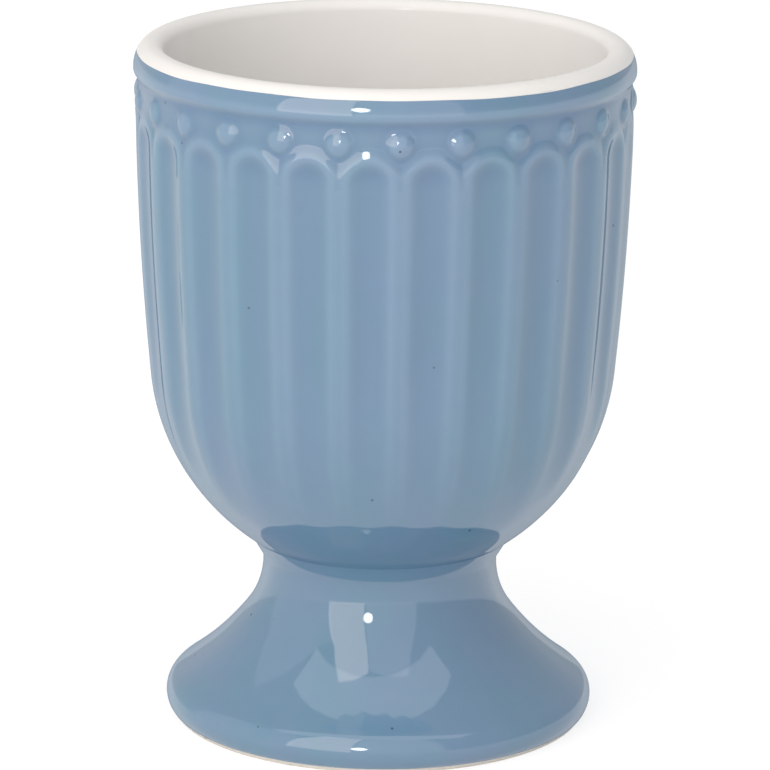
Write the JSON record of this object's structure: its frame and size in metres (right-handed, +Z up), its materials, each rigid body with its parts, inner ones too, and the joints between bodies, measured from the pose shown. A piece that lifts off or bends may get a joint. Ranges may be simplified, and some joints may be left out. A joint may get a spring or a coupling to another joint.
{
  "type": "egg cup",
  "caption": "Footed egg cup in glazed stoneware, with a fluted bowl, a row of beads under its rim band, a pinched neck and a hollow flared foot.",
  "frame": {"origin": "centre of the foot ring, on the surface that the cup stands on", "axes": "+Z up along the cup's axis, -Y towards the viewer of the picture"},
  "size_m": [0.047, 0.047, 0.0653],
  "materials": {
    "stoneware": "bare fired clay, matt",
    "dried_slip": "fired slip, matt",
    "blue_glaze": "gloss",
    "white_glaze": "gloss"
  },
  "bodies": {
    "root": {"bowl": "stoneware", "foot": "stoneware", "joint_slip": "dried_slip", "bead_row": "blue_glaze", "bowl_glaze": "blue_glaze", "foot_glaze": "blue_glaze", "liner_glaze": "white_glaze", "underside_glaze": "white_glaze"}
  },
  "joints": []
}
